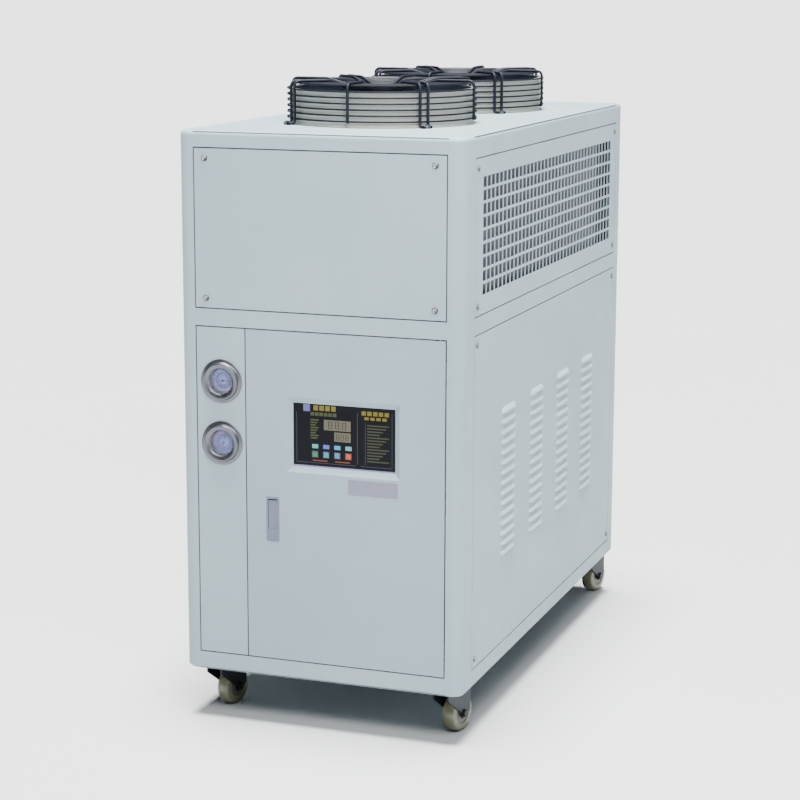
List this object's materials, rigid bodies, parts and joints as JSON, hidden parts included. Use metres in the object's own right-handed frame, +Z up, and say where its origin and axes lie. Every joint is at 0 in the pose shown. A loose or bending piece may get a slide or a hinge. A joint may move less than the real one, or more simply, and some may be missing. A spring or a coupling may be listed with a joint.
{
  "type": "air-cooled chiller",
  "caption": "Water chiller in a powder-coated cabinet on swivel casters, with fans in wire guards on top, louvred sides, a hinged door with controller, and pressure gauges.",
  "frame": {"origin": "centre of the footprint on the floor", "axes": "+Z up, front with door and gauges faces -Y, right side +X"},
  "size_m": [0.589, 1.205, 1.254],
  "materials": {
    "cabinet_sheet": "fine texture powder coat",
    "galvanised_sheet": "galvanised",
    "coil_fin": "mill finish fins",
    "ring_sheet": "satin",
    "guard_wire": "black gloss coat",
    "motor_casting": "satin",
    "blade_paint": "satin",
    "compressor_paint": "gloss",
    "rubber_mount": "matte",
    "tank_steel": "brushed",
    "pump_paint": "gloss",
    "copper_pipe": "drawn copper",
    "rubber_hose": "matte",
    "contactor_plastic": "moulded",
    "gauge_steel": "polished",
    "gauge_dial": "matte white",
    "gauge_lens": "clear",
    "gauge_needle": "matte black",
    "hinge_steel": "zinc plated",
    "caster_steel": "zinc plated",
    "screw_steel": "plated",
    "port_brass": "machined",
    "gland_plastic": "moulded",
    "latch_metal": "satin",
    "bolt_steel": "zinc plated",
    "controller_plastic": "printed front foil",
    "key_plastic": "soft keys",
    "fork_steel": "pressed steel",
    "wheel_rubber": "grey thermoplastic rubber"
  },
  "bodies": {
    "cabinet": {"base_frame": "cabinet_sheet", "front_frame": "cabinet_sheet", "rear_frame": "cabinet_sheet", "side_rails": "cabinet_sheet", "top_cover": "cabinet_sheet", "front_upper_panel": "cabinet_sheet", "gauge_panel": "cabinet_sheet", "left_grille": "cabinet_sheet", "right_grille": "cabinet_sheet", "left_louvre_panel": "cabinet_sheet", "right_louvre_panel": "cabinet_sheet", "rear_upper_panel": "cabinet_sheet", "rear_lower_panel": "cabinet_sheet", "partition_tray": "galvanised_sheet", "electrical_plate": "galvanised_sheet", "left_condenser": "coil_fin", "right_condenser": "coil_fin", "fan_rings": "ring_sheet", "front_fan_guard": "guard_wire", "rear_fan_guard": "guard_wire", "fan_motors": "motor_casting", "compressor": "compressor_paint", "compressor_mounts": "rubber_mount", "water_tank": "tank_steel", "water_pump": "pump_paint", "refrigerant_pipes": "copper_pipe", "water_pipes": "rubber_hose", "contactors": "contactor_plastic", "gauge_cases": "gauge_steel", "gauge_dials": "gauge_dial", "gauge_lenses": "gauge_lens", "hinge_brackets": "hinge_steel", "caster_plates": "caster_steel", "panel_screws": "screw_steel", "guard_screws": "screw_steel", "water_ports": "port_brass", "cable_gland": "gland_plastic"},
    "door": {"door": "cabinet_sheet", "lock_body": "latch_metal", "controller": "controller_plastic"},
    "lock_handle": {"lock_handle": "latch_metal"},
    "lock_button": {"lock_button": "latch_metal"},
    "lock_bolt": {"lock_bolt": "bolt_steel"},
    "upper_gauge_needle": {"upper_gauge_needle": "gauge_needle"},
    "lower_gauge_needle": {"lower_gauge_needle": "gauge_needle"},
    "front_fan_rotor": {"front_fan_rotor": "blade_paint"},
    "rear_fan_rotor": {"rear_fan_rotor": "blade_paint"},
    "key_1": {"key_1": "key_plastic"},
    "key_2": {"key_2": "key_plastic"},
    "key_3": {"key_3": "key_plastic"},
    "key_4": {"key_4": "key_plastic"},
    "front_left_caster_fork": {"front_left_caster_fork": "fork_steel"},
    "front_left_caster_wheel": {"front_left_caster_wheel": "wheel_rubber"},
    "front_right_caster_fork": {"front_right_caster_fork": "fork_steel"},
    "front_right_caster_wheel": {"front_right_caster_wheel": "wheel_rubber"},
    "rear_left_caster_fork": {"rear_left_caster_fork": "fork_steel"},
    "rear_left_caster_wheel": {"rear_left_caster_wheel": "wheel_rubber"},
    "rear_right_caster_fork": {"rear_right_caster_fork": "fork_steel"},
    "rear_right_caster_wheel": {"rear_right_caster_wheel": "wheel_rubber"}
  },
  "joints": [
    {"name": "door_hinge", "type": "hinge", "parent": "cabinet", "child": "door", "pos_m": [0.2415, -0.582, 0.464], "axis": [0, 0, 1], "range_deg": [0, 110]},
    {"name": "lock_handle_hinge", "type": "hinge", "parent": "door", "child": "lock_handle", "pos_m": [-0.097, -0.5855, 0.455], "axis": [-1, 0, 0], "range_deg": [0, 35]},
    {"name": "lock_bolt_slide", "type": "slide", "parent": "door", "child": "lock_bolt", "axis": [1, 0, 0], "range_m": [0, 0.012]},
    {"name": "lock_button_slide", "type": "slide", "parent": "door", "child": "lock_button", "axis": [0, 1, 0], "range_m": [0, 0.0015], "stiffness_N_per_m": 400},
    {"name": "key_1_slide", "type": "slide", "parent": "door", "child": "key_1", "axis": [0, 1, 0], "range_m": [0, 0.001], "stiffness_N_per_m": 300},
    {"name": "key_2_slide", "type": "slide", "parent": "door", "child": "key_2", "axis": [0, 1, 0], "range_m": [0, 0.001], "stiffness_N_per_m": 300},
    {"name": "key_3_slide", "type": "slide", "parent": "door", "child": "key_3", "axis": [0, 1, 0], "range_m": [0, 0.001], "stiffness_N_per_m": 300},
    {"name": "key_4_slide", "type": "slide", "parent": "door", "child": "key_4", "axis": [0, 1, 0], "range_m": [0, 0.001], "stiffness_N_per_m": 300},
    {"name": "upper_gauge_hinge", "type": "hinge", "parent": "cabinet", "child": "upper_gauge_needle", "pos_m": [-0.202, -0.581, 0.685], "axis": [0, 1, 0], "range_deg": [-225, 45], "stiffness_Nm_per_rad": 0.002},
    {"name": "lower_gauge_hinge", "type": "hinge", "parent": "cabinet", "child": "lower_gauge_needle", "pos_m": [-0.202, -0.581, 0.563], "axis": [0, 1, 0], "range_deg": [-150, 120], "stiffness_Nm_per_rad": 0.002},
    {"name": "front_fan_spin", "type": "hinge", "parent": "cabinet", "child": "front_fan_rotor", "pos_m": [0, -0.241, 1.2], "axis": [0, 0, 1], "continuous": true},
    {"name": "rear_fan_spin", "type": "hinge", "parent": "cabinet", "child": "rear_fan_rotor", "pos_m": [0, 0.241, 1.2], "axis": [0, 0, 1], "continuous": true},
    {"name": "front_left_swivel", "type": "hinge", "parent": "cabinet", "child": "front_left_caster_fork", "pos_m": [-0.24, -0.525, 0.0915], "axis": [0, 0, 1], "continuous": true},
    {"name": "front_left_roll", "type": "hinge", "parent": "front_left_caster_fork", "child": "front_left_caster_wheel", "pos_m": [-0.23145, -0.48797, 0.0375], "axis": [0.9744, -0.225, 0], "continuous": true},
    {"name": "front_right_swivel", "type": "hinge", "parent": "cabinet", "child": "front_right_caster_fork", "pos_m": [0.24, -0.525, 0.0915], "axis": [0, 0, 1], "continuous": true},
    {"name": "front_right_roll", "type": "hinge", "parent": "front_right_caster_fork", "child": "front_right_caster_wheel", "pos_m": [0.24855, -0.48797, 0.0375], "axis": [0.9744, -0.225, 0], "continuous": true},
    {"name": "rear_left_swivel", "type": "hinge", "parent": "cabinet", "child": "rear_left_caster_fork", "pos_m": [-0.24, 0.525, 0.0915], "axis": [0, 0, 1], "continuous": true},
    {"name": "rear_left_roll", "type": "hinge", "parent": "rear_left_caster_fork", "child": "rear_left_caster_wheel", "pos_m": [-0.23145, 0.56203, 0.0375], "axis": [0.9744, -0.225, 0], "continuous": true},
    {"name": "rear_right_swivel", "type": "hinge", "parent": "cabinet", "child": "rear_right_caster_fork", "pos_m": [0.24, 0.525, 0.0915], "axis": [0, 0, 1], "continuous": true},
    {"name": "rear_right_roll", "type": "hinge", "parent": "rear_right_caster_fork", "child": "rear_right_caster_wheel", "pos_m": [0.24855, 0.56203, 0.0375], "axis": [0.9744, -0.225, 0], "continuous": true}
  ],
  "couplings": [
    {"joint": "lock_bolt_slide", "follows": "lock_handle_hinge", "m_per_rad": 0.0196}
  ]
}
